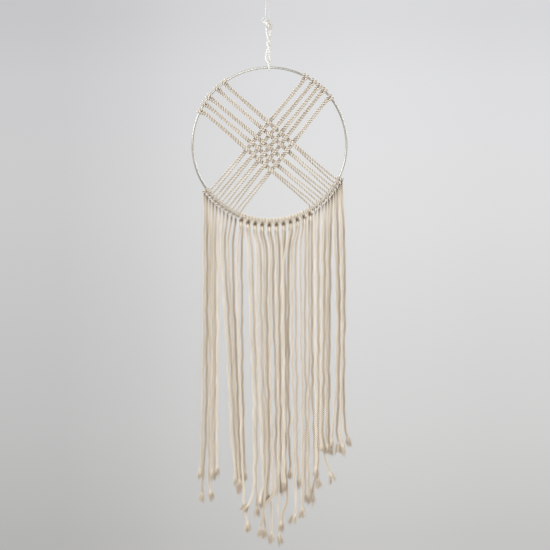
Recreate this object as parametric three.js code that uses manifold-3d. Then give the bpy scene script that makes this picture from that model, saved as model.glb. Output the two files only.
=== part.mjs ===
import * as THREE from "three";
import Module from "manifold-3d";

// A macrame hoop hanging: a metal hoop on a cotton hanger and a thread, ten doubled cotton cords
// woven across it and tied on its lower half, and a fringe of eleven more set between them.
// Millimetres, +Z up, the front faces -Y, and the origin is the point that the thread hangs from.

// Driving dimensions
const hoop_radius = 150.5;
const rod_diameter = 4;
const loose_cord_diameter = 4.8;
const web_cord_diameter = 4.4;
const knot_cord_diameter = 3.8;
const hitch_cord_diameter = 3.65;
const thread_diameter = 1.2;
const fit_gap = 0.35;
const swing_gap = 0.75;
const pivot_gap = 0.45;
const hitch_reach = 8.2;
const leg_spread = 2.65;
const weave_depth = 2.95;
const layer_depth = 3;
const twist_radius = 2.8;
const half_knot_length = 15;
const half_knot_start = 9.4;

// Places on the ring, in degrees from +X and up towards +Z
const upper_left_heads = [125.6, 132.8, 141.8, 147.9, 154.2];
const upper_right_heads = [62.2, 55.3, 49.7, 44.9, 37.6];
const left_hitch_first = -143.6;
const right_hitch_first = -55.7;
const hitch_pitch = 3.28;
const hitch_count = 10;
const fringe_first = -110.1;
const fringe_pitch = 5.03;
const fringe_count = 11;

// Shapes of the knots, as shares of a turn round the rod (0 outside the ring, a quarter behind it,
// three quarters in front) or of the distance from the rod's centre to the middle of a wrap
const start_turn_share = 0.625;
const middle_turn_share = 1.25;
const end_turn_share = 1.875;
const arrival_out_share = -1.75;
const arrival_front_share = -0.8;
const leg_out_share = 2.1;
const exit_share = 1.25;
const bend_share = 0.6;
const pair_middle_share = 0.5;
const half_head_shares = [
  [1, 1.28, -0.3],
  [1, 0.72, -0.76],
  [1.08, 0, -1],
  [1.16, -Math.SQRT1_2, -Math.SQRT1_2],
  [1.25, -1, 0],
  [1.25, -Math.SQRT1_2, Math.SQRT1_2],
  [1.25, 0, 1],
  [1.14, 0.62, 1.06],
  [0.55, 0.98, 1.1],
];

// Counts
const web_sides = 5;
const knot_sides = 6;
const tail_sides = 8;
const knot_body_sides = 10;
const rod_sides = 8;
const hoop_steps = 72;
const turn_steps = 8;

// Routes are set out on a square grid laid over the hanging, with this many steps to the hoop's
// radius. Columns run right and rows run down, as on a knotting board.
const radius_steps = 77;
const [centre_column, centre_row] = [269.4, 144.5];
const [hanging_column, hanging_row] = [267.3, -15];

// Worked out from the sizes above
const grid = hoop_radius / radius_steps;
const rod_radius = rod_diameter / 2;
const knot_radius = knot_cord_diameter / 2;
const hitch_cord_radius = hitch_cord_diameter / 2;
const web_radius = web_cord_diameter / 2;
const loose_radius = loose_cord_diameter / 2;
const thread_radius = thread_diameter / 2;
const corner_share = Math.cos(Math.PI / turn_steps);
const fixed_wrap = (rod_radius + fit_gap + knot_radius) / corner_share;
const swing_wrap = (rod_radius + swing_gap + knot_radius) / corner_share;
const bend_rise = bend_share * hitch_cord_radius;
const wrap_offset = THREE.MathUtils.degToRad(hitch_pitch) * hoop_radius / 4;
const hoop_centre = [
  (centre_column - hanging_column) * grid,
  (hanging_row - centre_row) * grid,
];

const wasm = await Module();
wasm.setup();

const cotton = new THREE.MeshStandardMaterial({ color: 0xebe6dc, roughness: 0.95, metalness: 0 });
const metal = new THREE.MeshStandardMaterial({ color: 0xbcb8a8, roughness: 0.28, metalness: 0.95 });
const white_thread = new THREE.MeshStandardMaterial({ color: 0xf1f0ec, roughness: 0.8, metalness: 0 });
const part = new THREE.Group();

function addNode(name, geometry, material) {
  const mesh = new THREE.Mesh(geometry, material);
  mesh.name = name;
  part.add(mesh);
}

// A point of the grid: column, row, and depth in loose cord diameters towards the back.
function onGrid([column, row, depth = 0]) {
  return new THREE.Vector3(
    hoop_centre[0] + (column - centre_column) * grid,
    depth * loose_cord_diameter,
    hoop_centre[1] + (centre_row - row) * grid,
  );
}

// A point beside the ring: an angle, a distance along the ring, a distance out from the rod's
// centre (inwards where side is -1), and a depth towards the back.
function byRing(angle, along, out, back, side) {
  const turn = THREE.MathUtils.degToRad(angle) + along / hoop_radius;
  const reach = hoop_radius + side * out;
  return new THREE.Vector3(
    hoop_centre[0] + reach * Math.cos(turn),
    back,
    hoop_centre[1] + reach * Math.sin(turn),
  );
}

// A solid tube along points that each carry a radius, with its section kept from twisting and
// its rings on the bisecting planes of the bends.
function tube(route, sides) {
  const points = route.map((step) => step.at);
  const ring_count = points.length;
  const positions = [];
  const faces = [];
  const heading = (from, to) => points[to].clone().sub(points[from]).normalize();
  let normal = new THREE.Vector3();
  for (let i = 0; i < ring_count; i++) {
    const before = heading(Math.max(i - 1, 0), Math.max(i, 1));
    const after = i < ring_count - 1 ? heading(i, i + 1) : before;
    const tangent = before.clone().add(after).normalize();
    if (i === 0) {
      const across = new THREE.Vector3(0, 1, 0);
      if (Math.abs(tangent.y) > Math.SQRT1_2) across.set(1, 0, 0);
      normal = across.cross(tangent).normalize();
    }
    normal.addScaledVector(tangent, -normal.dot(tangent)).normalize();
    const binormal = tangent.clone().cross(normal);
    for (let k = 0; k < sides; k++) {
      const turn = (2 * Math.PI * k) / sides;
      const corner = points[i]
        .clone()
        .addScaledVector(normal, route[i].radius * Math.cos(turn))
        .addScaledVector(binormal, route[i].radius * Math.sin(turn));
      positions.push(corner.x, corner.y, corner.z);
    }
  }
  for (let i = 0; i < ring_count - 1; i++) {
    for (let k = 0; k < sides; k++) {
      const next = (k + 1) % sides;
      const low = i * sides;
      const high = low + sides;
      faces.push(low + k, low + next, high + k, low + next, high + next, high + k);
    }
  }
  const last = (ring_count - 1) * sides;
  for (let k = 1; k < sides - 1; k++) {
    faces.push(0, k + 1, k);
    faces.push(last, last + k, last + k + 1);
  }
  const geometry = new THREE.BufferGeometry();
  geometry.setAttribute("position", new THREE.Float32BufferAttribute(positions, 3));
  geometry.setIndex(faces);
  return geometry;
}

const step = (at, radius) => ({ at, radius });

// Half of a lark's head, from the leg below the knot to the middle of the bar behind it.
// The leg goes up in front of the rod, over it, down behind, and into the bar behind the legs.
function halfHead(angle, hand, wrap, side) {
  return half_head_shares.map(([along, out, back]) =>
    step(byRing(angle, hand * along * leg_spread, out * wrap, back * wrap, side), knot_radius),
  );
}

// The two halves joined: leg, knot, leg. The first leg is the one at the greater angle.
function larksHead(angle, wrap, side) {
  const first = halfHead(angle, 1, wrap, side);
  const second = halfHead(angle, -1, wrap, side).reverse();
  return [...first, ...second];
}

// The end of a hitch, where its tail hangs: on the upper side of the hitch, clear of the wraps
function tailPivot(angle, hand) {
  return byRing(angle, hand * exit_share * wrap_offset, hitch_reach, 0, 1);
}

// A hitch round the rod: over the front, out, up behind, over again, and out at the front.
function hitch(angle, hand) {
  const route = [];
  const first_step = Math.round(turn_steps * start_turn_share);
  const last_step = Math.round(turn_steps * end_turn_share);
  for (let k = first_step; k <= last_step; k++) {
    const turn = (2 * Math.PI * k) / turn_steps;
    const along = hand * 2 * wrap_offset * (k / turn_steps - middle_turn_share);
    const place = byRing(angle, along, fixed_wrap * Math.cos(turn), fixed_wrap * Math.sin(turn), 1);
    route.push(step(place, hitch_cord_radius));
  }
  const end = tailPivot(angle, hand);
  const above = end.clone();
  above.z += bend_rise;
  route.push(step(above, hitch_cord_radius));
  route.push(step(end, hitch_cord_radius));
  return route;
}

// The place where a leg comes onto the front of the rod, one wrap inside the ring
function hitchStart(angle, hand) {
  const along = -hand * exit_share * wrap_offset;
  return byRing(angle, along, arrival_out_share * fixed_wrap, arrival_front_share * fixed_wrap, 1);
}

const hitchAngles = (first, sense) =>
  Array.from({ length: hitch_count }, (_, k) => first + sense * hitch_pitch * k);
const left_hitches = hitchAngles(left_hitch_first, 1);
const right_hitches = hitchAngles(right_hitch_first, 1);

// The ten legs that fall to the right and the ten that fall to the left. In the ring's plane the
// legs of a pair run side by side from below their lark's head, each towards a point beside the
// middle of their two hitches, and part only after the last cord that they cross.
function webLegs(heads, hitchOf, sense) {
  const legs = [];
  heads.forEach((angle, cord) => {
    const pair = [1, -1].map((hand) => {
      const from = byRing(angle, hand * leg_spread, leg_out_share * fixed_wrap, 0, -1);
      const target = hitchOf(cord, hand);
      return { cord, hand, from, to: hitchStart(target, sense), target, sense };
    });
    const [first, second] = pair;
    const between_starts = first.from.clone().lerp(second.from, pair_middle_share);
    const between_hitches = first.to.clone().lerp(second.to, pair_middle_share);
    const run = between_hitches.sub(between_starts);
    pair.forEach((leg) => legs.push({ ...leg, beside: leg.from.clone().add(run) }));
  });
  return legs;
}
const falling_right = webLegs(
  upper_left_heads,
  (cord, hand) => right_hitches[hitch_count - 1 - 2 * cord - (hand > 0 ? 1 : 0)],
  1,
);
const falling_left = webLegs(
  upper_right_heads,
  (cord, hand) => left_hitches[2 * cord + (hand > 0 ? 0 : 1)],
  -1,
);

// Where two legs cross in the ring's plane, as a share of the first one's straight run
function crossingShare(a, b) {
  const dx = a.beside.x - a.from.x;
  const dz = a.beside.z - a.from.z;
  const ex = b.beside.x - b.from.x;
  const ez = b.beside.z - b.from.z;
  return ((b.from.x - a.from.x) * ez - (b.from.z - a.from.z) * ex) / (dx * ez - dz * ex);
}

// A leg's way through the web: a point at each cord it crosses, in front of one pair and behind
// the next.
function weave(leg, others) {
  const places = others
    .map((other) => ({ share: crossingShare(leg, other), other }))
    .sort((a, b) => a.share - b.share);
  return places.map(({ share, other }) => {
    const falling_right_in_front = (leg.cord + other.cord) % 2 === 0;
    const in_front = falling_right_in_front === (leg.sense > 0);
    const at = leg.from.clone().lerp(leg.beside, share);
    at.y = in_front ? -weave_depth : weave_depth;
    return step(at, web_radius);
  });
}

// One web cord: hitch, leg, lark's head, leg, hitch
function webCord(angle, first, second, others) {
  const legRoute = (leg) => [
    step(leg.from, web_radius),
    ...weave(leg, others),
    step(leg.to, web_radius),
    ...hitch(leg.target, leg.sense),
  ];
  const up = legRoute(first).reverse();
  const down = legRoute(second);
  return [...up, ...larksHead(angle, fixed_wrap, -1), ...down];
}

// Least gap of a cord to itself, measured on points along its centre line that lie further apart
// along the cord than a few diameters.
function leastOwnGap(route) {
  const spacing = knot_radius / 2;
  const samples = [];
  let travelled = 0;
  for (let i = 0; i < route.length - 1; i++) {
    const from = route[i];
    const to = route[i + 1];
    const length = from.at.distanceTo(to.at);
    const count = Math.max(1, Math.ceil(length / spacing));
    for (let k = 0; k < count; k++) {
      const share = k / count;
      samples.push({
        at: from.at.clone().lerp(to.at, share),
        radius: THREE.MathUtils.lerp(from.radius, to.radius, share),
        along: travelled + length * share,
      });
    }
    travelled += length;
  }
  let least = Infinity;
  for (let i = 0; i < samples.length; i++) {
    for (let j = i + 1; j < samples.length; j++) {
      const a = samples[i];
      const b = samples[j];
      if (b.along - a.along < 3 * (a.radius + b.radius)) continue;
      least = Math.min(least, a.at.distanceTo(b.at) - a.radius - b.radius);
    }
  }
  return least;
}
let least_own_gap = Infinity;
function addCord(name, route, sides, material) {
  least_own_gap = Math.min(least_own_gap, leastOwnGap(route));
  addNode(name, tube(route, sides), material);
}

// Hoop
const rod = new THREE.TorusGeometry(hoop_radius, rod_radius, rod_sides, hoop_steps);
rod.rotateX(Math.PI / 2);
rod.translate(hoop_centre[0], 0, hoop_centre[1]);
rod.deleteAttribute("normal");
rod.deleteAttribute("uv");
addNode("hoop", rod, metal);

// Web cords
upper_left_heads.forEach((angle, cord) => {
  const [first, second] = falling_right.filter((leg) => leg.cord === cord);
  const route = webCord(angle, first, second, falling_left);
  addCord("web_cord_left_" + (cord + 1), route, web_sides, cotton);
});
upper_right_heads.forEach((angle, cord) => {
  const [first, second] = falling_left.filter((leg) => leg.cord === cord);
  const route = webCord(angle, first, second, falling_right);
  addCord("web_cord_right_" + (cord + 1), route, web_sides, cotton);
});

// What is left of each leg hangs free under its hitch, from the outermost strand inwards on the
// left and from the innermost outwards on the right: its layer in depth, and its route.
const left_tails = [
  [-1, [[204.3, 240], [204.2, 300], [203.6, 360], [202.4, 420], [201.2, 460], [199.3, 477]]],
  [1, [[207.2, 240], [207, 300], [206.7, 360], [206, 420], [203.6, 470], [201.6, 502]]],
  [1, [[210, 240], [209.8, 300], [209.5, 360], [208.9, 420], [209, 465], [210.3, 499]]],
  [-1, [[212.4, 240], [212.4, 300], [212.6, 360], [211.8, 420], [212, 460], [212, 478]]],
  [1, [[215.2, 240], [215.2, 300], [214.9, 360], [214.4, 420], [214.8, 460], [215.6, 477]]],
  [-1, [[218.2, 240], [218, 300], [217.6, 360], [216.6, 420], [216.6, 450], [217.5, 474]]],
  [-1, [[221.8, 240], [224, 300], [227.4, 345], [230, 400], [232, 440], [236.6, 483]]],
  [1, [[225, 240], [227.5, 300], [230.3, 345], [232.8, 400], [235, 445], [238, 493]]],
  [-1, [[228.4, 240], [230.6, 300], [233.2, 350], [235.2, 400], [237.6, 450], [239.9, 488]]],
  [1, [[233.3, 240], [233.9, 300], [236, 350], [237.8, 400], [239.6, 450], [241, 482]]],
];
const right_tails = [
  [-1, [[315, 240], [315.4, 300], [315.7, 360], [316, 420], [316, 450], [316, 476]]],
  [1, [[318.5, 240], [318.5, 300], [318.5, 360], [318.4, 420], [318.2, 455], [317.6, 488]]],
  [-1, [[321.8, 240], [321.8, 300], [321.3, 350], [320.9, 400], [320.6, 430], [321, 453]]],
  [1, [[325, 240], [324.5, 300], [323.9, 350], [323.5, 400], [323.4, 445], [332, 481, 0.5]]],
  [-1, [[327.6, 240], [327.2, 300], [326.7, 350], [326.4, 400], [326.2, 430], [327, 453]]],
  [1, [[330.6, 240], [329.9, 300], [329.5, 350], [329, 400], [328.8, 430], [329.2, 453]]],
  [-1, [[334.8, 240], [337, 300], [336.9, 350], [335.4, 400], [332.6, 430], [330.6, 447]]],
  [1, [[338, 240], [339.3, 300], [339.2, 350], [338.3, 400], [337.4, 430], [338, 452]]],
  [-1, [[341, 240], [342, 300], [341.6, 350], [341, 400], [341.4, 430], [343, 453]]],
  [1, [[344.2, 240], [344.6, 300], [344.2, 350], [344, 400], [345.8, 430], [350, 446]]],
];

// A hanging tail: pointed under its pivot so that it can swing, then at its full thickness
function tail(angle, hand, [layer, places]) {
  const pivot = tailPivot(angle, hand);
  const below = (drop) => pivot.clone().sub(new THREE.Vector3(0, 0, drop));
  const depth = (layer * layer_depth) / loose_cord_diameter;
  return [
    step(below(pivot_gap), knot_radius / 2),
    step(below(pivot_gap + knot_radius / 2), knot_radius),
    step(below(3 * knot_radius), knot_radius),
    ...places.map(([column, row, own_depth]) =>
      step(onGrid([column, row, own_depth ?? depth]), loose_radius),
    ),
  ];
}
left_tails.forEach((spec, k) => {
  const name = "tail_left_" + String(k + 1).padStart(2, "0");
  addCord(name, tail(left_hitches[k], -1, spec), tail_sides, cotton);
});
right_tails.forEach((spec, k) => {
  const name = "tail_right_" + String(k + 1).padStart(2, "0");
  addCord(name, tail(right_hitches[k], 1, spec), tail_sides, cotton);
});

// Fringe cords between the web's hitches, from left to right: the routes of the left and of the
// right half under the knot. A third number is a depth of its own.
const fringe_routes = [
  [
    [[238, 246], [237.8, 300], [238.9, 350], [240.2, 400], [241.4, 440], [243.3, 490], [248.5, 531]],
    [[241.8, 246], [242, 300], [242.3, 350], [242.9, 400], [243.8, 440], [244.7, 480]],
  ],
  [
    [[248.3, 246], [250, 300], [251.6, 350], [253.6, 400], [253.9, 450], [253.2, 492],
      [250.5, 499, -1.9], [244, 511, -1.9]],
    [[251.5, 246], [253.4, 300], [255, 350], [256.8, 400], [256.9, 450], [256.5, 516]],
  ],
  [
    [[256.6, 246], [257, 300], [258, 350], [259.8, 400], [262, 445], [262.6, 487], [259.5, 506]],
    [[259.8, 246], [261, 300], [262.2, 350], [263.2, 400], [264.7, 450], [264.6, 485], [262.8, 507]],
  ],
  [
    [[263.3, 246], [263.9, 300], [264.9, 350], [265.7, 400], [266.7, 450], [264.8, 495], [264.5, 537]],
    [[266.4, 246], [266.6, 300], [267.5, 350], [268.4, 400], [269.4, 450], [267.2, 503]],
  ],
  [
    [[270, 246], [269.7, 300], [270.3, 350], [271, 400], [272, 450], [271.6, 495], [271.3, 541]],
    [[273, 246], [273.2, 300], [275, 350], [276, 400], [275.9, 455], [275.2, 490, -1.9],
      [266.5, 503, -1.9], [258.4, 536, -1.9]],
  ],
  [
    [[276.2, 246], [276.4, 300], [277.3, 350], [278.2, 400], [278.5, 450], [278.3, 500], [279.7, 543]],
    [[279.4, 246], [279.4, 300], [279.9, 350], [280.6, 400], [280.6, 450], [279.8, 492]],
  ],
  [
    [[281.8, 246], [282.2, 300], [282.4, 350], [282.5, 400], [282.8, 450], [282.4, 489]],
    [[284.4, 246], [285.6, 300], [285.8, 350], [285.9, 400], [285.6, 470],
      [287.2, 496, -1.4], [283, 515, -1.9], [278.5, 529, -1.9]],
  ],
  [
    [[286.8, 244, -1.8], [283.4, 266, -1.8], [283.3, 300, -1.8], [283.6, 350, -1.8], [284, 400, -1.8],
      [284, 450, -1.8], [283.8, 489, -1.8]],
    [[289.2, 246], [288.5, 300], [288.4, 350], [288.6, 400], [289.4, 445], [290.5, 478]],
  ],
  [
    [[292.2, 246], [292, 300], [292.4, 350], [293.5, 400], [294.3, 450], [295.6, 500], [294.5, 523]],
    [[296, 246], [296, 300], [296.4, 350], [297, 400], [297.2, 450], [299, 487]],
  ],
  [
    [[300.4, 246], [301, 300], [301.6, 350], [302.4, 400], [302.6, 450], [302, 517]],
    [[305.6, 246], [305.2, 300], [305.2, 350], [305.9, 400], [305.6, 450], [305, 503]],
  ],
  [
    [[308.6, 246], [309, 300], [309.3, 350], [309, 400], [308.3, 450], [309.6, 496]],
    [[311.9, 246], [312, 300], [312.3, 350], [312.9, 400], [314.4, 445], [314.6, 480], [310.8, 503]],
  ],
];
const half_knot_steps = 5;

// A fringe cord: its left half from the free end up, the half knot, the lark's head, and down
// again. The halves turn once round each other under the lark's head.
function fringeCord(angle, [left_places, right_places]) {
  const top = byRing(angle, 0, half_knot_start, 0, 1);
  const twist = (start) =>
    Array.from({ length: half_knot_steps }, (_, k) => {
      const turn = start + (2 * Math.PI * (k + 0.5)) / half_knot_steps;
      const at = new THREE.Vector3(
        top.x + twist_radius * Math.cos(turn),
        twist_radius * Math.sin(turn),
        top.z - (k * half_knot_length) / (half_knot_steps - 1),
      );
      return step(at, knot_radius);
    });
  const hang = (places, layer) =>
    places.map(([column, row, own_depth]) =>
      step(onGrid([column, row, own_depth ?? (layer * layer_depth) / loose_cord_diameter]), loose_radius),
    );
  const left = [...twist(Math.PI), ...hang(left_places, -1)];
  const right = [...twist(0), ...hang(right_places, 1)];
  // On the lower ring the greater angle is the right-hand side.
  return [...left.reverse(), ...larksHead(angle, swing_wrap, 1).reverse(), ...right];
}
fringe_routes.slice(0, fringe_count).forEach((routes, k) => {
  const name = "fringe_cord_" + String(k + 1).padStart(2, "0");
  addCord(name, fringeCord(fringe_first + fringe_pitch * k, routes), knot_sides, cotton);
});

// Hanger cord: from its knot down the left leg, round the twist, down the right side of the eye,
// under the rod, and back up behind.
const hanger_route = [
  [266.2, 26], [266.1, 29.5], [266.6, 36, -0.2], [267.8, 41.5, -0.5], [269.6, 46, -0.5], [270.4, 51, -0.15],
  [270.6, 56, 0], [270, 60.5, -0.25], [269.2, 63.4, -0.75], [269, 67.2, -0.9], [269, 69.1, -0.62],
  [269, 69.8, 0], [269, 69.1, 0.62], [269, 67.2, 0.9], [268.6, 63.4, 0.75], [266.8, 60.5, 0.25],
  [266, 56, 0], [266.2, 51, 0.15], [267.2, 46, 0.5], [269, 41.5, 0.5], [270.6, 36, 0.2],
  [271.2, 29.5], [270, 26],
];
const hanger_knot_place = [267.8, 26];
const hanger_knot_width = 14.6;
const hanger_knot_depth = 9.6;
const hanger_knot_height = 11.5;
const hanger_tail_route = [[266, 24.5], [263.6, 22.4], [261.9, 21]];
const loop_knot_place = [267.35, -7.9];
const loop_knot_width = 3.6;
const loop_knot_depth = 2.9;
const loop_knot_height = 3.4;

function solid(geometry) {
  return new wasm.Manifold(
    new wasm.Mesh({
      numProp: 3,
      vertProperties: new Float32Array(geometry.attributes.position.array),
      triVerts: new Uint32Array(geometry.index.array),
    }),
  );
}
function fromSolid(made) {
  const mesh = made.getMesh();
  const geometry = new THREE.BufferGeometry();
  geometry.setAttribute("position", new THREE.BufferAttribute(mesh.vertProperties, 3));
  geometry.setIndex(new THREE.BufferAttribute(mesh.triVerts, 1));
  return geometry;
}
// A closed lens-shaped knot, turned about its upright axis
function knotBody(centre, full_size, sides) {
  const [half_width, half_depth, half_height] = full_size.map((length) => length / 2);
  const positions = [];
  const faces = [];
  const rings = sides / 2;
  for (let i = 1; i < rings; i++) {
    const polar = (Math.PI * i) / rings;
    for (let k = 0; k < sides; k++) {
      const turn = (2 * Math.PI * k) / sides;
      positions.push(
        centre.x + half_width * Math.sin(polar) * Math.cos(turn),
        centre.y + half_depth * Math.sin(polar) * Math.sin(turn),
        centre.z + half_height * Math.cos(polar),
      );
    }
  }
  const top = positions.length / 3;
  positions.push(centre.x, centre.y, centre.z + half_height);
  positions.push(centre.x, centre.y, centre.z - half_height);
  for (let k = 0; k < sides; k++) {
    const next = (k + 1) % sides;
    faces.push(top, k, next);
    for (let i = 0; i < rings - 2; i++) {
      const high = i * sides;
      const low = high + sides;
      faces.push(high + k, low + k, low + next, high + k, low + next, high + next);
    }
    const low = (rings - 2) * sides;
    faces.push(top + 1, low + next, low + k);
  }
  const geometry = new THREE.BufferGeometry();
  geometry.setAttribute("position", new THREE.Float32BufferAttribute(positions, 3));
  geometry.setIndex(faces);
  return geometry;
}
const hanger_steps = hanger_route.map((place) => step(onGrid(place), knot_radius));
const hanger_tail = hanger_tail_route.map((place) => step(onGrid(place), knot_radius));
const hanger_body = knotBody(
  onGrid(hanger_knot_place),
  [hanger_knot_width, hanger_knot_depth, hanger_knot_height],
  knot_body_sides,
);
least_own_gap = Math.min(least_own_gap, leastOwnGap(hanger_steps.slice(1, -1)));
const hanger = solid(tube(hanger_steps, knot_sides))
  .add(solid(hanger_body))
  .add(solid(tube(hanger_tail, knot_sides)));
addNode("hanger_cord", fromSolid(hanger), cotton);

// Thread: doubled, one strand before the hanger's knot and one behind it, bent under the knot
const thread_route = [
  [266.9, -6.85, 0], [266.3, 0, -0.3], [265.6, 12, -0.85], [265.5, 20, -1.21], [267.2, 25.6, -1.21],
  [268, 27.4, -1.18], [268.7, 28.9, -0.75], [269.1, 29.6, 0], [269.2, 28.9, 0.75],
  [269.5, 27.4, 1.18], [269.8, 25.6, 1.21], [270.1, 20, 1.21], [269.9, 12, 0.85], [269, 0, 0.3],
  [267.8, -6.85, 0],
];
const thread_steps = thread_route.map((place) => step(onGrid(place), thread_radius));
addCord("hanging_thread", thread_steps, tail_sides, white_thread);
const loop_route = [
  [267.2, -7.6, 0], [266.6, -9.4, 0], [266.5, -12, 0], [266.8, -14.4, 0], [267.3, -15.2, 0],
  [267.8, -14.4, 0], [268.1, -12, 0], [268, -9.4, 0], [267.5, -7.6, 0],
];
const loop_knot = knotBody(
  onGrid(loop_knot_place),
  [loop_knot_width, loop_knot_depth, loop_knot_height],
  tail_sides,
);
const loop_steps = loop_route.map((place) => step(onGrid(place), thread_radius));
const loop = solid(tube(loop_steps, tail_sides)).add(solid(loop_knot));
addNode("thread_loop", fromSolid(loop), white_thread);

console.log("least gap of a cord to itself: " + least_own_gap.toFixed(2) + " mm");

export default part;
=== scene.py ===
import math
import bpy
import numpy as np
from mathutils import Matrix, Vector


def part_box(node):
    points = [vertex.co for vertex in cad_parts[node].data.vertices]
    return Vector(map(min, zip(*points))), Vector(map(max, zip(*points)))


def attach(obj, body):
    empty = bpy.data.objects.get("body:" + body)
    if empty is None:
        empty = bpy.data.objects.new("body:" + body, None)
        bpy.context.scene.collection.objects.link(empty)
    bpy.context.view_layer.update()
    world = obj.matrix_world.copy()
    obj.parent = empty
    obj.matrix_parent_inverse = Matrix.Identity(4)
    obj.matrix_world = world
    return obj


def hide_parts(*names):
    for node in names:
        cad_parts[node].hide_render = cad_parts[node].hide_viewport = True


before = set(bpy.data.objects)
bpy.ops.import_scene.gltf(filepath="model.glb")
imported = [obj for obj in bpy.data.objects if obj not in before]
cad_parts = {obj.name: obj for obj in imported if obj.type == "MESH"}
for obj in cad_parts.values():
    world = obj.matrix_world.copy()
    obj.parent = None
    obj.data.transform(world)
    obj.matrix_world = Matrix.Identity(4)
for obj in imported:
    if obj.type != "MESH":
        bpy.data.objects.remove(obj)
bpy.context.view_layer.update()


# Camera
# It stands square in front of the hanging, a little over two and a half metres away. Places on the
# hanging are read on the knotting grid, which has 77 steps to the hoop's radius.
hoop_low, hoop_high = (np.array(corner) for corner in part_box("hoop"))
rod_radius = 0.002
ring_centre = (hoop_low + hoop_high) / 2
ring_radius = (hoop_high[0] - hoop_low[0]) / 2 - rod_radius
radius_steps = 77
grid = ring_radius / radius_steps
centre_column, centre_row = 269.4, 144.5


def on_grid(column, row, depth=0.0):
    """A point in metres: column to the right, row downwards, depth towards the back in millimetres."""
    return np.array([
        ring_centre[0] + (column - centre_column) * grid,
        depth / 1000,
        ring_centre[2] + (centre_row - row) * grid,
    ])


view_distance = 2.6
half_view = 275
view_centre = on_grid(half_view, half_view)
camera_data = bpy.data.cameras.new("view")
camera_data.sensor_fit = "HORIZONTAL"
camera_data.angle = 2 * math.atan(half_view * grid / view_distance)
camera = bpy.data.objects.new("view", camera_data)
camera.location = (view_centre[0], -view_distance, view_centre[2])
camera.rotation_euler = (math.pi / 2, 0, 0)
bpy.context.scene.collection.objects.link(camera)
bpy.context.scene.camera = camera
bpy.context.scene.view_settings.view_transform = "Standard"


# Web cords and their tails
# Ten doubled cords of soft three-ply cotton, each set on the upper hoop with a lark's head, woven
# through five others and hitched on the lower hoop, where its two legs hang on as open-ended tails.
lay_length = 0.0134
loose_radius = 0.0027
web_radius = 0.00228
head_radius = 0.0027
hitch_radius = 0.00205
ply_points = 6
cord_step = 0.0011
brush_steps = 13


def travelled(line):
    """How far along the line each of its points lies."""
    return np.concatenate([[0], np.cumsum(np.linalg.norm(np.diff(line[:, :3], axis=0), axis=1))])


def smooth_line(places, step=cord_step):
    """A smooth line through places of x, y, z, radius and shade, with a point every step."""
    places = np.array([tuple(place) + (0.0,) * (5 - len(place)) for place in places])
    ends = np.array([2 * places[0] - places[1], 2 * places[-1] - places[-2]])
    knots = np.vstack([ends[:1], places, ends[1:]])
    gaps = np.linalg.norm(np.diff(knots[:, :3], axis=0), axis=1)
    times = np.concatenate([[0], np.cumsum(np.sqrt(np.maximum(gaps, 1e-7)))])
    dense = []
    for i in range(1, len(knots) - 2):
        t0, t1, t2, t3 = times[i - 1:i + 3]
        p0, p1, p2, p3 = knots[i - 1:i + 3]
        count = max(2, int(gaps[i] / step * 2))
        for t in np.linspace(t1, t2, count, endpoint=False):
            a1 = (t1 - t) / (t1 - t0) * p0 + (t - t0) / (t1 - t0) * p1
            a2 = (t2 - t) / (t2 - t1) * p1 + (t - t1) / (t2 - t1) * p2
            a3 = (t3 - t) / (t3 - t2) * p2 + (t - t2) / (t3 - t2) * p3
            b1 = (t2 - t) / (t2 - t0) * a1 + (t - t0) / (t2 - t0) * a2
            b2 = (t3 - t) / (t3 - t1) * a2 + (t - t1) / (t3 - t1) * a3
            dense.append((t2 - t) / (t2 - t1) * b1 + (t - t1) / (t2 - t1) * b2)
    dense.append(places[-1])
    dense = np.array(dense)
    steps = travelled(dense)
    stops = np.linspace(0, steps[-1], max(3, int(round(steps[-1] / step)) + 1))
    return np.column_stack([np.interp(stops, steps, dense[:, k]) for k in range(5)])


wave_lengths = (0.038, 0.061, 0.105)


def swayed(line, rng, reach=0.00055):
    """The same line with the slight waves of a hanging cord, which grow from nothing at its top."""
    steps = travelled(line)
    fade = np.interp(steps, [0.01, 0.06, 0.3], [0, 0.5, 1.1])
    waved = line.copy()
    for axis in (0, 1):
        for wave_length in wave_lengths:
            phase = rng.uniform(0, 2 * math.pi)
            stretch = wave_length * rng.uniform(0.85, 1.15)
            waved[:, axis] += reach * fade * np.sin(2 * math.pi * steps / stretch + phase)
    return waved


def cord_length(line):
    return float(np.linalg.norm(np.diff(line[:, :3], axis=0), axis=1).sum())


def carried_frames(line):
    """Tangent, normal and binormal at each point of a line, carried along it without twist."""
    points = line[:, :3]
    tangents = np.gradient(points, axis=0)
    tangents /= np.linalg.norm(tangents, axis=1)[:, None]
    normals = np.zeros_like(tangents)
    start = np.array([0.0, 1.0, 0.0])
    if abs(tangents[0][1]) > 0.8:
        start = np.array([1.0, 0.0, 0.0])
    normal = np.cross(start, tangents[0])
    for i, tangent in enumerate(tangents):
        normal = normal - tangent * normal.dot(tangent)
        normal /= np.linalg.norm(normal)
        normals[i] = normal
    return tangents, normals, np.cross(tangents, normals)


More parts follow.
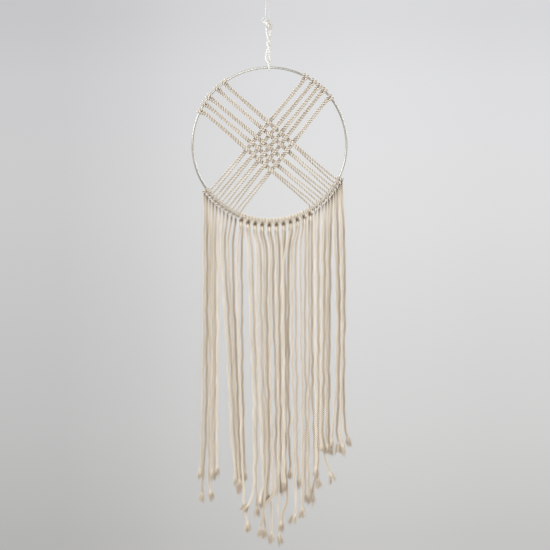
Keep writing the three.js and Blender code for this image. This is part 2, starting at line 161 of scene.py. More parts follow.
class Bundle:
    """Surfaces gathered into one mesh, with their places on the fibres and their painted shade and
    random tone.
    """

    def __init__(self):
        self.points, self.faces, self.fibres, self.painted_shades_and_tones = [], [], [], []
        self.count = 0

    def add(self, points, faces, fibres, painted_shades_and_tones):
        self.points.append(points)
        self.faces.append(faces + self.count)
        self.fibres.append(fibres)
        self.painted_shades_and_tones.append(painted_shades_and_tones)
        self.count += len(points)

    def tube(self, rings, fibres, painted_shades_and_tones):
        """Joins rings of points into a closed tube."""
        ring_count, sides = rings.shape[:2]
        row = np.arange(ring_count - 1)[:, None] * sides
        column = np.arange(sides)[None, :]
        following = (column + 1) % sides
        faces = np.stack(np.broadcast_arrays(
            row + column, row + following, row + sides + following, row + sides + column), axis=-1)
        points = np.vstack([rings.reshape(-1, 3), rings[0].mean(axis=0), rings[-1].mean(axis=0)])
        last = (ring_count - 1) * sides
        side = np.arange(sides)
        following = (side + 1) % sides
        first_cap = np.stack([side * 0 + ring_count * sides, following, side, side * 0 - 1], axis=-1)
        last_cap = np.stack(
            [side * 0 + ring_count * sides + 1, last + side, last + following, side * 0 - 1], axis=-1)
        faces = np.vstack([faces.reshape(-1, 4), first_cap, last_cap])
        faces = np.where(faces < 0, -1 - self.count, faces)
        flat_fibres = fibres.reshape(-1, 3)
        flat_shades_and_tones = painted_shades_and_tones.reshape(-1)
        self.add(
            points, faces,
            np.vstack([flat_fibres, flat_fibres[:1], flat_fibres[-1:]]),
            np.concatenate([flat_shades_and_tones, flat_shades_and_tones[:1], flat_shades_and_tones[-1:]]),
        )

    def mesh(self, name, material):
        points = np.vstack(self.points)
        faces = np.vstack(self.faces)
        quads = faces[faces[:, 3] >= 0]
        triangles = faces[faces[:, 3] < 0][:, :3]
        data = bpy.data.meshes.new(name)
        data.vertices.add(len(points))
        data.vertices.foreach_set("co", points.astype(np.float32).ravel())
        corners = np.concatenate([quads.ravel(), triangles.ravel()]).astype(np.int32)
        sizes = np.concatenate([np.full(len(quads), 4), np.full(len(triangles), 3)])
        data.loops.add(len(corners))
        data.loops.foreach_set("vertex_index", corners)
        data.polygons.add(len(sizes))
        starts = np.concatenate([[0], np.cumsum(sizes)[:-1]]).astype(np.int32)
        data.polygons.foreach_set("loop_start", starts)
        data.polygons.foreach_set("use_smooth", np.ones(len(sizes), bool))
        fibre = data.attributes.new("fibre", "FLOAT_VECTOR", "POINT")
        fibre.data.foreach_set("vector", np.vstack(self.fibres).astype(np.float32).ravel())
        # The painted shade and random tone that the cotton finishes read.
        hollow = data.attributes.new("hollow", "FLOAT", "POINT")
        hollow.data.foreach_set("value", np.concatenate(self.painted_shades_and_tones).astype(np.float32))
        data.update(calc_edges=True)
        data.materials.append(material)
        piece = bpy.data.objects.new(name, data)
        bpy.context.scene.collection.objects.link(piece)
        return piece


pressed_within = 0.0082
pressed_fade = 0.0017


def pressed(points, share=0.36):
    """Cord that is pulled tight round the rod lies flattened against it."""
    from_centre = points - ring_centre
    reach = np.hypot(from_centre[..., 0], from_centre[..., 2])
    across, back = reach - ring_radius, from_centre[..., 1]
    distance = np.maximum(np.hypot(across, back), 1e-6)
    fade = np.clip((pressed_within - distance) / pressed_fade, 0, 1)
    nearer = distance - share * fade * np.maximum(distance - rod_radius, 0)
    across, back = across * nearer / distance, back * nearer / distance
    stretch = (ring_radius + across) / reach
    return np.stack([
        ring_centre[0] + from_centre[..., 0] * stretch,
        ring_centre[1] + back,
        ring_centre[2] + from_centre[..., 2] * stretch,
    ], axis=-1)


ply_centre = 0.52
ply_size = 0.48
ply_shade_power = 0.55


def lay_cord(
        bundle, line, start_along=0.0, start_turn=0.0, taper=False, tight=False, shade_and_tone_share=0.0,
        ply_shade_strength=1.0):
    """Three plies laid round each other along a line; returns the turn in which they end."""
    _, normals, binormals = carried_frames(line)
    steps = travelled(line)
    along = start_along + steps
    turn = start_turn + 2 * math.pi * steps / lay_length
    sides = 3 * ply_points
    local = (np.arange(sides) % ply_points) / ply_points * (2 * math.pi / 3) - math.pi / 3
    reach = ply_centre * np.cos(local) + np.sqrt(ply_size**2 - (ply_centre * np.sin(local))**2)
    angles = turn[:, None] + np.arange(sides)[None, :] * (2 * math.pi / sides)
    size = line[:, 3].copy()
    if taper:
        size[-1] *= 0.75
    radii = size[:, None] * reach[None, :]
    rings = (
        line[:, None, :3]
        + (radii * np.cos(angles))[:, :, None] * normals[:, None, :]
        + (radii * np.sin(angles))[:, :, None] * binormals[:, None, :]
    )
    if tight:
        rings = pressed(rings)
    fibres = np.stack(
        [np.cos(angles), np.sin(angles), np.repeat(along[:, None], sides, axis=1)], axis=-1)
    # Painted shade in the hollows between the plies.
    painted_shades_and_tones = (1 - (reach - reach.min()) / (reach.max() - reach.min()))**ply_shade_power
    # The places' own painted shade, and the strand's share of painted shade and random tone.
    own_shade = np.clip(line[:, 4:5], -0.2, 1.3)
    bundle.tube(rings, fibres, ply_shade_strength * painted_shades_and_tones[None, :] + own_shade + shade_and_tone_share)
    return turn[-1]


def thin_strand(bundle, places, radii, sides=3, hollow=0.1):
    """A plain thin tube, for one ply or one fibre."""
    line = np.column_stack([places, radii])
    _, normals, binormals = carried_frames(line)
    angles = np.arange(sides) * (2 * math.pi / sides)
    rings = (
        line[:, None, :3]
        + (line[:, 3:4] * np.cos(angles))[:, :, None] * normals[:, None, :]
        + (line[:, 3:4] * np.sin(angles))[:, :, None] * binormals[:, None, :]
    )
    steps = travelled(line)
    fibres = np.stack(np.broadcast_arrays(
        np.cos(angles)[None, :], np.sin(angles)[None, :], steps[:, None]), axis=-1)
    bundle.tube(rings, fibres, np.full(rings.shape[:2], hollow))


def open_end(bundle, line, turn, rng, reach=0.0205, strands=170, shades=(0.2, 0.75)):
    """The cut end of a cord: its plies come apart into three locks, and their fibres into a brush."""
    tangents, normals, binormals = carried_frames(line)
    tip, heading = line[-1, :3], tangents[-1]
    normal, binormal = normals[-1], binormals[-1]
    down, flat = np.array([0.0, 0.0, -1.0]), np.array([1.0, 0.55, 1.0])
    ply_out, ply_radius = 0.0011, 0.0013
    opening = 0.34 * reach * rng.uniform(0.6, 1.25)
    lean = rng.normal(0, 0.06 * reach, 3)
    stations = np.linspace(-0.3, 1, 7)
    locks = []
    for ply in range(3):
        angle = turn + ply * 2 * math.pi / 3 + rng.uniform(-0.6, 0.6)
        out = (math.cos(angle) * normal + math.sin(angle) * binormal) * flat
        lock = out * opening * rng.uniform(0.15, 1.0) + lean
        locks.append((out, lock, rng.uniform(0.7, 1.1)))
        places = np.array([
            tip + heading * reach * 0.55 * s + out * ply_out + lock * 0.45 * max(s, 0)**1.3
            for s in stations])
        radii = ply_radius * np.interp(stations, [-0.3, 0.3, 1], [1, 0.8, 0.2])
        thin_strand(bundle, places, radii, 8, hollow=0.35)
    along = np.linspace(0, 1, 6)[:, None]
    for _ in range(strands):
        out, lock, share = locks[rng.integers(3)]
        scatter = rng.normal(0, 1, 3) * flat
        scatter -= heading * scatter.dot(heading)
        start = tip - heading * reach * rng.uniform(0.02, 0.3) + out * ply_out + scatter * 0.0005
        length = reach * share * rng.uniform(0.5, 1.1)
        spread = lock + scatter * reach * rng.uniform(0.02, 0.11)
        wave = rng.normal(0, 0.0005, 3)
        fibre = (
            start + heading * length * along + spread * along**1.3
            + wave * np.sin(along * rng.uniform(4, 9)) + down * length * 0.06 * along**2
        )
        thin_strand(
            bundle, fibre, rng.uniform(0.00026, 0.0004) * np.linspace(1, 0.5, 6),
            hollow=rng.uniform(*shades))


def loose_fibres(bundle, line, rng, per_metre=260):
    """Short fibres that stand off the cord."""
    tangents, normals, binormals = carried_frames(line)
    count = rng.poisson(cord_length(line) * per_metre)
    for _ in range(count):
        i = rng.integers(1, len(line) - 1)
        angle = rng.uniform(0, 2 * math.pi)
        out = math.cos(angle) * normals[i] + math.sin(angle) * binormals[i]
        length = rng.uniform(0.0012, 0.0034)
        base = line[i, :3] + out * line[i, 3] * 0.75
        lean = tangents[i] * rng.uniform(-1, 1) + rng.normal(0, 0.25, 3)
        along = np.linspace(0, 1, 3)[:, None]
        places = base + out * length * 0.45 * along + lean * length * 0.8 * along**1.3
        thin_strand(bundle, places, np.array([0.00005, 0.000045, 0.00003]))


class Shade:
    """A socket of a material, with arithmetic on numbers written as Math nodes."""

    def __init__(self, tree, socket):
        self.tree, self.socket = tree, socket

    def node(self, kind, settings=None, inputs=None, output=0):
        made = self.tree.nodes.new(kind)
        for key, value in (settings or {}).items():
            if key == "stops":
                for _ in range(len(value) - 2):
                    made.color_ramp.elements.new(0.5)
                for element, (place, colour) in zip(made.color_ramp.elements, value):
                    element.position, element.color = place, (*colour, 1)
            else:
                setattr(made, key, value)
        for key, value in (inputs or {}).items():
            if isinstance(value, Shade):
                self.tree.links.new(value.socket, made.inputs[key])
            else:
                made.inputs[key].default_value = value
        return Shade(self.tree, made.outputs[output])

    def maths(self, operation, first, second):
        return self.node("ShaderNodeMath", {"operation": operation}, {0: first, 1: second})

    def __add__(self, other):
        return self.maths("ADD", self, other)

    __radd__ = __add__

    def __mul__(self, other):
        return self.maths("MULTIPLY", self, other)

    __rmul__ = __mul__

    def __sub__(self, other):
        return self.maths("SUBTRACT", self, other)

    def __rsub__(self, other):
        return self.maths("SUBTRACT", other, self)


def new_finish(name):
    """A material, its Principled surface, and a Shade of that surface to build on."""
    material = bpy.data.materials.new(name)
    material.use_nodes = True
    surface = material.node_tree.nodes["Principled BSDF"]
    return material, surface, Shade(material.node_tree, surface.outputs[0])


def noise_along(fibre, stretch, detail):
    """Noise laid over the fibres, finer the more its place is stretched."""
    place = fibre.node("ShaderNodeVectorMath", {"operation": "MULTIPLY"}, {0: fibre, 1: stretch})
    return fibre.node("ShaderNodeTexNoise", {}, {"Vector": place, "Scale": 1.0, "Detail": detail})


def cotton_finish(name, stops):
    """Matt cotton, streaked along its fibres, darkened and warmed by painted shade between the plies
    and in shaded places, and darker in random patches.
    """
    material, surface, shade = new_finish(name)
    fibre = shade.node("ShaderNodeAttribute", {"attribute_name": "fibre"}, output=1)
    hollow = shade.node("ShaderNodeAttribute", {"attribute_name": "hollow"}, output=2)
    streaks = noise_along(fibre, (3.4, 3.4, 150), 4.0)
    hairs = noise_along(fibre, (9.0, 9.0, 420), 2.0)
    patches = noise_along(fibre, (0.4, 0.4, 22), 2.0)
    # Random streaks and patches, less the painted shade from the mesh, pick the colour on the ramp.
    tone_and_painted_shade = streaks * 0.14 + hairs * 0.06 + patches * 0.3 - hollow * 0.9 + 0.66
    colour = shade.node("ShaderNodeValToRGB", {"stops": stops}, {0: tone_and_painted_shade})
    height = streaks * 0.6 + hairs * 0.4
    bump = shade.node("ShaderNodeBump", {}, {"Height": height, "Strength": 0.25, "Distance": 0.00035})
    shade.tree.links.new(colour.socket, surface.inputs["Base Color"])
    shade.tree.links.new(bump.socket, surface.inputs["Normal"])
    surface.inputs["Roughness"].default_value = 0.95
    surface.inputs["Specular IOR Level"].default_value = 0.15
    surface.inputs["Sheen Weight"].default_value = 0.25
    surface.inputs["Sheen Roughness"].default_value = 0.6
    return material


# The dark, warm end of each ramp is painted shade: the cotton reaches it only where painted shade lies
# deep.
cotton = cotton_finish("natural_cotton", [
    (0.0, (0.09, 0.055, 0.03)), (0.25, (0.40, 0.29, 0.18)), (0.52, (0.75, 0.665, 0.54)),
    (0.84, (0.91, 0.89, 0.855)),
])
pulled_cotton = cotton_finish("pulled_cotton", [
    (0.0, (0.085, 0.058, 0.035)), (0.25, (0.37, 0.292, 0.20)), (0.52, (0.715, 0.655, 0.557)),
    (0.84, (0.905, 0.893, 0.868)),
])


def finish_cord(bundle, name, body, *nodes, finish=cotton):
    """Makes the gathered cord a piece that rides on its body and stands for its CAD nodes."""
    piece = bundle.mesh(name, finish)
    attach(piece, body)
    if nodes:
        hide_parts(*nodes)
    return piece


upper_left_heads = [125.6, 132.8, 141.8, 147.9, 154.2]
upper_right_heads = [62.2, 55.3, 49.7, 44.9, 37.6]
hitch_pitch = 3.28
left_hitches = [-143.6 + hitch_pitch * k for k in range(10)]
right_hitches = [-55.7 + hitch_pitch * k for k in range(10)]
wrap_offset = math.radians(hitch_pitch) * ring_radius / 4
fixed_wrap = 0.0047
hitch_steps = 8
hitch_reach = 0.0082
leg_offset = 1.25 * wrap_offset
tail_close = 0.0052
first_drop = 0.006
leg_spread = 0.00265
pair_spread = 0.00222
weave_depth = 0.0024
# The fold in which a leg leaves its hitch: along the rod, out, to the back, radius and painted shade.
fold_places = [
    (0.8, 0.003, -0.0046, 0.0024, 0.2), (0.5, 0.0058, -0.0046, 0.0029, -0.1),
    (0.8, 0.0082, -0.0022, 0.0025, 0.5),
]
# Half a lark's head: shares of its spread along the rod, of its wrap out and to the back, and of
# its deepest painted shade, which lies on the bar behind the rod.
half_head_shares = [
    (1.1, 1.28, -0.3, 0), (1.34, 0.72, -0.76, 0), (1.27, 0, -1, 0), (1.25, -0.707, -0.707, 0),
    (1.25, -1, 0, 0), (1.25, -0.707, 0.707, 0), (1.25, 0, 1, 0), (1.14, 0.62, 1.06, 0.7),
    (0.55, 0.98, 1.1, 1),
]


def by_ring(angle, along, out, back, side=1):
    """A point beside the rod: along it, out from its centre (inwards for side -1) and to the back."""
    turn = math.radians(angle) + along / ring_radius
    reach = ring_radius + side * out
    return np.array([
        ring_centre[0] + reach * math.cos(turn),
        back,
        ring_centre[2] + reach * math.sin(turn),
    ])


def larks_head(angle, wrap, spread, side, radius, painted_darkness):
    """Leg, wrap, bar behind, wrap, leg; the first leg is the one at the greater angle."""
    halves = []
    # The bar behind the rod gets painted shade, as deep as the given darkness.
    for hand in (1, -1):
        halves.append([(
            *by_ring(angle, hand * along * spread, out * wrap, back * wrap, side),
            radius, painted_darkness * share,
        ) for along, out, back, share in half_head_shares])
    return halves[0] + halves[1][::-1]


def tail_top(angle, hand):
    """Where the tail leaves its hitch: at the height of its hinge, and close under the rod."""
    hinge = by_ring(angle, hand * leg_offset, hitch_reach, 0)
    close = by_ring(angle, hand * leg_offset, tail_close, 0)
    return np.array([close[0], 0.0, hinge[2]])


def hitch(angle, hand):
    """Over the front of the rod, round it, over it again beside the first wrap, and out in a fold."""
    places = []
    for k in range(5, 15):
        turn = 2 * math.pi * k / hitch_steps
        along = hand * 2 * wrap_offset * (k / hitch_steps - 1.3)
        # Painted shade on the outer side of each wrap, where the pockets between the hitches lie.
        places.append((
            *by_ring(angle, along, fixed_wrap * math.cos(turn), fixed_wrap * math.sin(turn)),
            hitch_radius, 1.3 * max(0, math.cos(turn - 0.3))))
    # The fold takes its painted shade from its listed places.
    for along, out, back, radius, painted_darkness in fold_places:
        places.append((*by_ring(angle, hand * along * wrap_offset, out, back), radius, painted_darkness))
    top = tail_top(angle, hand)
    # Painted shade where the tail leaves the fold.
    places.append((top[0], top[1], top[2] + 0.0008, hitch_radius, 0.9))
    return places


def hitch_start(angle, hand):
    return by_ring(angle, -hand * leg_offset, -1.75 * fixed_wrap, -0.8 * fixed_wrap)


def crossing_share(a, b):
    """Where leg a crosses leg b, as a share of leg a's straight run, seen from the front."""
    (ax, _, az), (bx, _, bz) = a["beside"] - a["from"], b["beside"] - b["from"]
    dx, _, dz = b["from"] - a["from"]
    return (dx * bz - dz * bx) / (ax * bz - az * bx)


def web_legs(heads, hitch_of, sense):
    """The legs of a pair run side by side, and part after the last cord that they cross."""
    legs = []
    for cord, angle in enumerate(heads):
        pair = []
        for hand in (1, -1):
            target = hitch_of(cord, hand)
            pair.append({
                "cord": cord, "hand": hand, "target": target, "sense": sense,
                "from": by_ring(angle, hand * pair_spread, 2.1 * fixed_wrap, 0, -1),
                "to": hitch_start(target, sense),
            })
        run = (pair[0]["to"] + pair[1]["to"] - pair[0]["from"] - pair[1]["from"]) / 2
        for leg in pair:
            leg["beside"] = leg["from"] + run
        legs += pair
    return legs


falling_right = web_legs(
    upper_left_heads, lambda cord, hand: right_hitches[9 - 2 * cord - (1 if hand > 0 else 0)], 1)
falling_left = web_legs(
    upper_right_heads, lambda cord, hand: left_hitches[2 * cord + (0 if hand > 0 else 1)], -1)


def woven(leg, others):
    """The leg's way over one pair and under the next, with a flat stretch at each crossing."""
    crossings = sorted((crossing_share(leg, other), other["cord"]) for other in others)
    places = []
    for share, cord in crossings:
        right_in_front = (leg["cord"] + cord) % 2 == 0
        depth = -weave_depth if right_in_front == (leg["sense"] > 0) else weave_depth
        at = leg["from"] + (leg["beside"] - leg["from"]) * share
        # Painted shade where the leg passes under, painted light where it passes over.
        places.append((at[0], depth, at[2], web_radius, 0.22 if depth > 0 else -0.08))
    margin = (crossings[-1][0] - crossings[0][0]) / 6
    before, after = crossings[0][0], crossings[-1][0]
    entry = leg["from"] + (leg["beside"] - leg["from"]) * (before - margin)
    left = leg["from"] + (leg["beside"] - leg["from"]) * (after + margin)
    entry[1] = places[0][1] * (before - margin) / before
    left[1] = places[-1][1] + (leg["to"][1] - places[-1][1]) * margin / (1 - after)
    return [(*entry, web_radius), *places, (*left, web_radius)]


def leg_route(leg, others):
    return [
        (*leg["from"], web_radius), *woven(leg, others), (*leg["to"], 0.9 * web_radius),
        *hitch(leg["target"], leg["sense"]),
    ]


# Each tail's layer in depth and its places on the grid, from the outermost strand inwards on the
# left and from the innermost outwards on the right. A third number is a depth of its own.
left_tails = [
    (-3, [(204.3, 240), (204.2, 300), (203.6, 360), (202.4, 420), (201.2, 460), (199.3, 477)]),
    (3, [(207.2, 240), (207, 300), (206.7, 360), (206, 420), (203.6, 470), (201.6, 502)]),
    (3, [(210, 240), (209.8, 300), (209.5, 360), (208.9, 420), (209, 465), (210.3, 499)]),
    (-3, [(212.4, 240), (212.4, 300), (212.6, 360), (211.8, 420), (212, 460), (212, 478)]),
    (3, [(215.2, 240), (215.2, 300), (214.9, 360), (214.4, 420), (214.8, 460), (215.6, 477)]),
    (-3, [(218.2, 240), (218, 300), (217.6, 360), (216.6, 420), (216.6, 450), (217.5, 474)]),
    (-3, [(221.8, 240), (224, 300), (227.4, 345), (230, 400), (232, 440), (236.6, 483)]),
    (3, [(225, 240), (227.5, 300), (230.3, 345), (232.8, 400), (235, 445), (238, 493)]),
    (-3, [(228.4, 240), (230.6, 300), (233.2, 350), (235.2, 400), (237.6, 450), (239.9, 488)]),
    (3, [(233.3, 240), (233.9, 300), (236, 350), (237.8, 400), (239.6, 450), (241, 482)]),
]
right_tails = [
    (-3, [(315, 240), (315.4, 300), (315.7, 360), (316, 420), (316, 450), (316, 476)]),
    (3, [(318.5, 240), (318.5, 300), (318.5, 360), (318.4, 420), (318.2, 455), (317.6, 488)]),
    (-3, [(321.8, 240), (321.8, 300), (321.3, 350), (320.9, 400), (320.6, 430), (321, 453)]),
    (3, [(325, 240), (324.5, 300), (323.9, 350), (323.5, 400), (323.4, 445), (332, 481, 2.4)]),
    (-3, [(327.6, 240), (327.2, 300), (326.7, 350), (326.4, 400), (326.2, 430), (327, 453)]),
    (3, [(330.6, 240), (329.9, 300), (329.5, 350), (329, 400), (328.8, 430), (329.2, 453)]),
    (-3, [(334.8, 240), (337, 300), (336.9, 350), (335.4, 400), (332.6, 430), (330.6, 447)]),
    (3, [(338, 240), (339.3, 300), (339.2, 350), (338.3, 400), (337.4, 430), (338, 452)]),
    (-3, [(341, 240), (342, 300), (341.6, 350), (341, 400), (341.4, 430), (343, 453)]),
    (3, [(344.2, 240), (344.6, 300), (344.2, 350), (344, 400), (345.8, 430), (350, 446)]),
]
# Forty cords can be declared. The three shortest strands are left out where hang_strand
# lists a strand's points.
undeclared = {"tail_right_03_cord", "fringe_cord_08_right_half", "fringe_cord_01_right_half"}


def hanging_places(places, layer):
    points = []
    for column, row, *own in places:
        points.append((*on_grid(column, row, own[0] if own else layer), loose_radius))
    return points


def hang_strand(name, fibres_name, node, line, turn, rng, shade_and_tone_share):
    """One strand of the fringe from its start, with its open end and its loose fibres."""
    bundle = Bundle()
    end_turn = lay_cord(bundle, line, turn, turn, taper=True, shade_and_tone_share=shade_and_tone_share)
    piece = finish_cord(bundle, name, node, node)
    if name not in undeclared:
        line[::6, :3].tolist() + [line[-1, :3].tolist()]
    fringe = Bundle()
    open_end(fringe, line, end_turn, rng)
    loose_fibres(fringe, line, rng)
    finish_cord(fringe, fibres_name, node)


def make_tail(name, angle, hand, layer, places, turn, seed):
    top = tail_top(angle, hand)
    # Painted shade where the tail leaves its hitch, fading downwards.
    route = [(*top, hitch_radius, 1), (top[0], 0, top[2] - first_drop, 0.0023, 0.35)]
    route += hanging_places(places, layer)
    rng = np.random.default_rng(seed)
    line = swayed(smooth_line(route), rng)[:-brush_steps]
    # Strands in the back layer get painted shade; each strand also gets a random tone.
    shade_and_tone_share = 0.07 * (layer > 0) + rng.uniform(-0.14, 0.1)
    hang_strand(name + "_cord", name + "_fibres", name, line, turn, rng, shade_and_tone_share)


def make_web_cord(name, angle, first, second, others, seed):
    head = larks_head(angle, fixed_wrap, leg_spread, -1, head_radius, 0.9)
    line = smooth_line(leg_route(first, others)[::-1] + head + leg_route(second, others), 0.001)
    bundle = Bundle()
    # Deeper painted shade between the plies, and a darker tone all along the web cord.
    lay_cord(bundle, line, tight=True, shade_and_tone_share=0.05, ply_shade_strength=1.12)
    finish_cord(bundle, name + "_cord", "hoop_and_web", name, finish=pulled_cotton)
    fringe = Bundle()
    loose_fibres(fringe, line, np.random.default_rng(seed), 160)
    finish_cord(fringe, name + "_fibres", "hoop_and_web", finish=pulled_cotton)


for cord, angle in enumerate(upper_left_heads):
    first, second = (leg for leg in falling_right if leg["cord"] == cord)
    make_web_cord(f"web_cord_left_{cord + 1}", angle, first, second, falling_left, 100 + cord)
for cord, angle in enumerate(upper_right_heads):
    first, second = (leg for leg in falling_left if leg["cord"] == cord)
    make_web_cord(f"web_cord_right_{cord + 1}", angle, first, second, falling_right, 200 + cord)
for k, (layer, places) in enumerate(left_tails):
    make_tail(f"tail_left_{k + 1:02d}", left_hitches[k], -1, layer, places, 0.7 * k, 300 + k)
for k, (layer, places) in enumerate(right_tails):
    make_tail(f"tail_right_{k + 1:02d}", right_hitches[k], 1, layer, places, 0.9 * k, 400 + k)


# Fringe cords
# Eleven cords folded over the lower hoop in a lark's head with the bar behind. Under it the two
# halves are tied once round each other, and then hang with open ends of uneven length.
fringe_angles = [-110.1 + 5.03 * k for k in range(11)]
swing_wrap = 0.005
head_spread = 0.00268
knot_radius = 0.0030
knot_top = 0.0094
knot_drop = 0.0115
# Painted shade in the gap between the folds under a head: how far out, how far in front and how wide it
# is.
gap_out = 0.0069
gap_front = -0.004
gap_reach = 0.0026
fringe_routes = [
    ([(238, 246), (237.8, 300), (238.9, 350), (240.2, 400), (241.4, 440), (243.3, 490), (248.5, 531)],
     [(241.8, 246), (242, 300), (242.3, 350), (242.9, 400), (243.8, 440), (244.7, 480)]),
    ([(248.3, 246), (250, 300), (251.6, 350), (253.6, 400), (253.9, 450), (253.2, 492),
      (250.5, 499, -9.1), (244, 511, -9.1)],
     [(251.5, 246), (253.4, 300), (255, 350), (256.8, 400), (256.9, 450), (256.5, 516)]),
    ([(256.6, 246), (257, 300), (258, 350), (259.8, 400), (262, 445), (262.6, 487), (259.5, 506)],
     [(259.8, 246), (261, 300), (262.2, 350), (263.2, 400), (264.7, 450), (264.6, 485), (262.8, 507)]),
    ([(263.3, 246), (263.9, 300), (264.9, 350), (265.7, 400), (266.7, 450), (264.8, 495), (264.5, 537)],
     [(266.4, 246), (266.6, 300), (267.5, 350), (268.4, 400), (269.4, 450), (267.2, 503)]),
    ([(270, 246), (269.7, 300), (270.3, 350), (271, 400), (272, 450), (271.6, 495), (271.3, 541)],
     [(273, 246), (273.2, 300), (275, 350), (276, 400), (275.9, 455), (275.2, 490, -9.1),
      (266.5, 503, -9.1), (258.4, 536, -9.1)]),
    ([(276.2, 246), (276.4, 300), (277.3, 350), (278.2, 400), (278.5, 450), (278.3, 500), (279.7, 543)],
     [(279.4, 246), (279.4, 300), (279.9, 350), (280.6, 400), (280.6, 450), (279.8, 492)]),
    ([(281.8, 246), (282.2, 300), (282.4, 350), (282.5, 400), (282.8, 450), (282.4, 489)],
     [(284.4, 246), (285.6, 300), (285.8, 350), (285.9, 400), (285.6, 470), (287.2, 496, -6.7),
      (283, 515, -9.1), (278.5, 529, -9.1)]),
    ([(286.8, 244, -8.6), (283.4, 266, -8.6), (283.3, 300, -8.6), (283.6, 350, -8.6), (284, 400, -8.6),
      (284, 450, -8.6), (283.8, 489, -8.6)],
     [(289.2, 246), (288.5, 300), (288.4, 350), (288.6, 400), (289.4, 445), (290.5, 478)]),
    ([(292.2, 246), (292, 300), (292.4, 350), (293.5, 400), (294.3, 450), (295.6, 500), (294.5, 523)],
     [(296, 246), (296, 300), (296.4, 350), (297, 400), (297.2, 450), (299, 487)]),
    ([(300.4, 246), (301, 300), (301.6, 350), (302.4, 400), (302.6, 450), (302, 517)],
     [(305.6, 246), (305.2, 300), (305.2, 350), (305.9, 400), (305.6, 450), (305, 503)]),
    ([(308.6, 246), (309, 300), (309.3, 350), (309, 400), (308.3, 450), (309.6, 496)],
     [(311.9, 246), (312, 300), (312.3, 350), (312.9, 400), (314.4, 445), (314.6, 480), (310.8, 503)]),
]


def half_knot(angle, hand, rng):
    """One half of the knot: it turns once round the other half, fullest where it lies in front."""
    top = by_ring(angle, 0, knot_top, 0)
    swell = rng.uniform(0.9, 1.14)
    places = []
    for u in np.linspace(0, 1, 11):
        turn = (math.pi if hand < 0 else 0) + 2 * math.pi * (0.04 + 0.92 * u)
        fullest, behind = math.sin(math.pi * u), math.sin(turn)
        reach = 0.0026 + 0.0006 * fullest
        # Painted shade where the half starts under the head and where it lies behind, painted light
        # where it lies in front, and a random tone.
        places.append((
            top[0] + reach * math.cos(turn), reach * behind, top[2] + 0.0014 - knot_drop * u,
            (0.0024 + 0.0004 * fullest + 0.0005 * max(0, -behind)) * swell,
            max(0, 0.8 - 5 * u) + (0.7 if behind > 0 else 0.1) * behind + rng.uniform(-0.06, 0.14)))
    return places


for k, (angle, (left_places, right_places)) in enumerate(zip(fringe_angles, fringe_routes)):
    node = f"fringe_cord_{k + 1:02d}"
    rng = np.random.default_rng(700 + k)
    left_knot, right_knot = half_knot(angle, -1, rng), half_knot(angle, 1, rng)
    head = larks_head(angle, swing_wrap, head_spread, 1, knot_radius, 1.25)
    knot_line = smooth_line(left_knot[::-1] + head[::-1] + right_knot, 0.0009)
    bundle = Bundle()
    lay_cord(bundle, knot_line, tight=True)
    # Painted shade, deepest in the gap between the two legs under the head.
    gap = by_ring(angle, 0, gap_out, gap_front)
    away = np.linalg.norm((bundle.points[0] - gap) * (1.0, 0.4, 0.8), axis=1)
    bundle.painted_shades_and_tones[0] = bundle.painted_shades_and_tones[0] + np.exp(-(away / gap_reach)**2)
    loose_fibres(bundle, knot_line, np.random.default_rng(500 + k), 200)
    finish_cord(bundle, node + "_knot", node, node)
    for side, (which, layer, places, knot) in enumerate(
            [("left", -3, left_places, left_knot), ("right", 3, right_places, right_knot)]):
        x, y, z, radius = knot[-1][:4]
        # Painted shade where the strand leaves the knot, fading downwards.
        route = [(x, y, z, radius, 0.22), (x, y, z - first_drop, 0.0025, 0.12)]
        route += hanging_places(places, layer)
        line = swayed(smooth_line(route), np.random.default_rng(800 + 2 * k + side))[:-brush_steps]
        strand_rng = np.random.default_rng(600 + 2 * k + side)
        # Right halves hang in the back layer and get painted shade; each strand also gets a random
        # tone.
        shade_and_tone_share = 0.06 * side + strand_rng.uniform(-0.12, 0.1)
        hang_strand(
            f"{node}_{which}_half", f"{node}_{which}_fibres", node, line, 1.3 * k,
            strand_rng, shade_and_tone_share)


# Hanger cord
# A short cotton cord that goes under the top of the hoop. Its two legs open into an eye, are twisted
# round each other, and are tied in a knot at the top, with one cut end standing out of the knot.
hanger_places = [
    (266.6, 29.5, 0), (267.3, 36, -1), (268.6, 40, -2.2), (269.7, 43.5, 0), (268.5, 47, 2.2),
    (267.2, 50.5, 0.9), (266.1, 56, 0), (266.2, 60, -1.2), (268.2, 63.4, -3.6), (269, 67.2, -4.3),
    (269, 69.1, -3), (269, 69.8, 0), (269, 69.1, 3), (269, 67.2, 4.3), (269.4, 63.4, 3.6),
    (270, 60, 1.2), (269.6, 56, 0), (269.2, 50.5, -0.9), (268.5, 47, -2.2), (267.4, 43.5, 0),
    (268.6, 40, 2.2), (269.9, 36, 1), (270.8, 29.5, 0),
]
hanger_radius = 0.0023
knot_middle = on_grid(267.8, 26)
white_cotton = cotton_finish("white_cotton", [
    (0.0, (0.12, 0.10, 0.08)), (0.25, (0.40, 0.375, 0.335)), (0.52, (0.72, 0.71, 0.68)),
    (0.84, (0.79, 0.79, 0.785)),
])


def in_knot(x, y, z, radius=2.5, painted_darkness=0.2):
    """A place in the hanger's knot, in millimetres from its middle, with its radius and painted shade.
    """
    place = knot_middle + np.array([x, y, z]) / 1000
    return (*place, radius / 1000, painted_darkness)


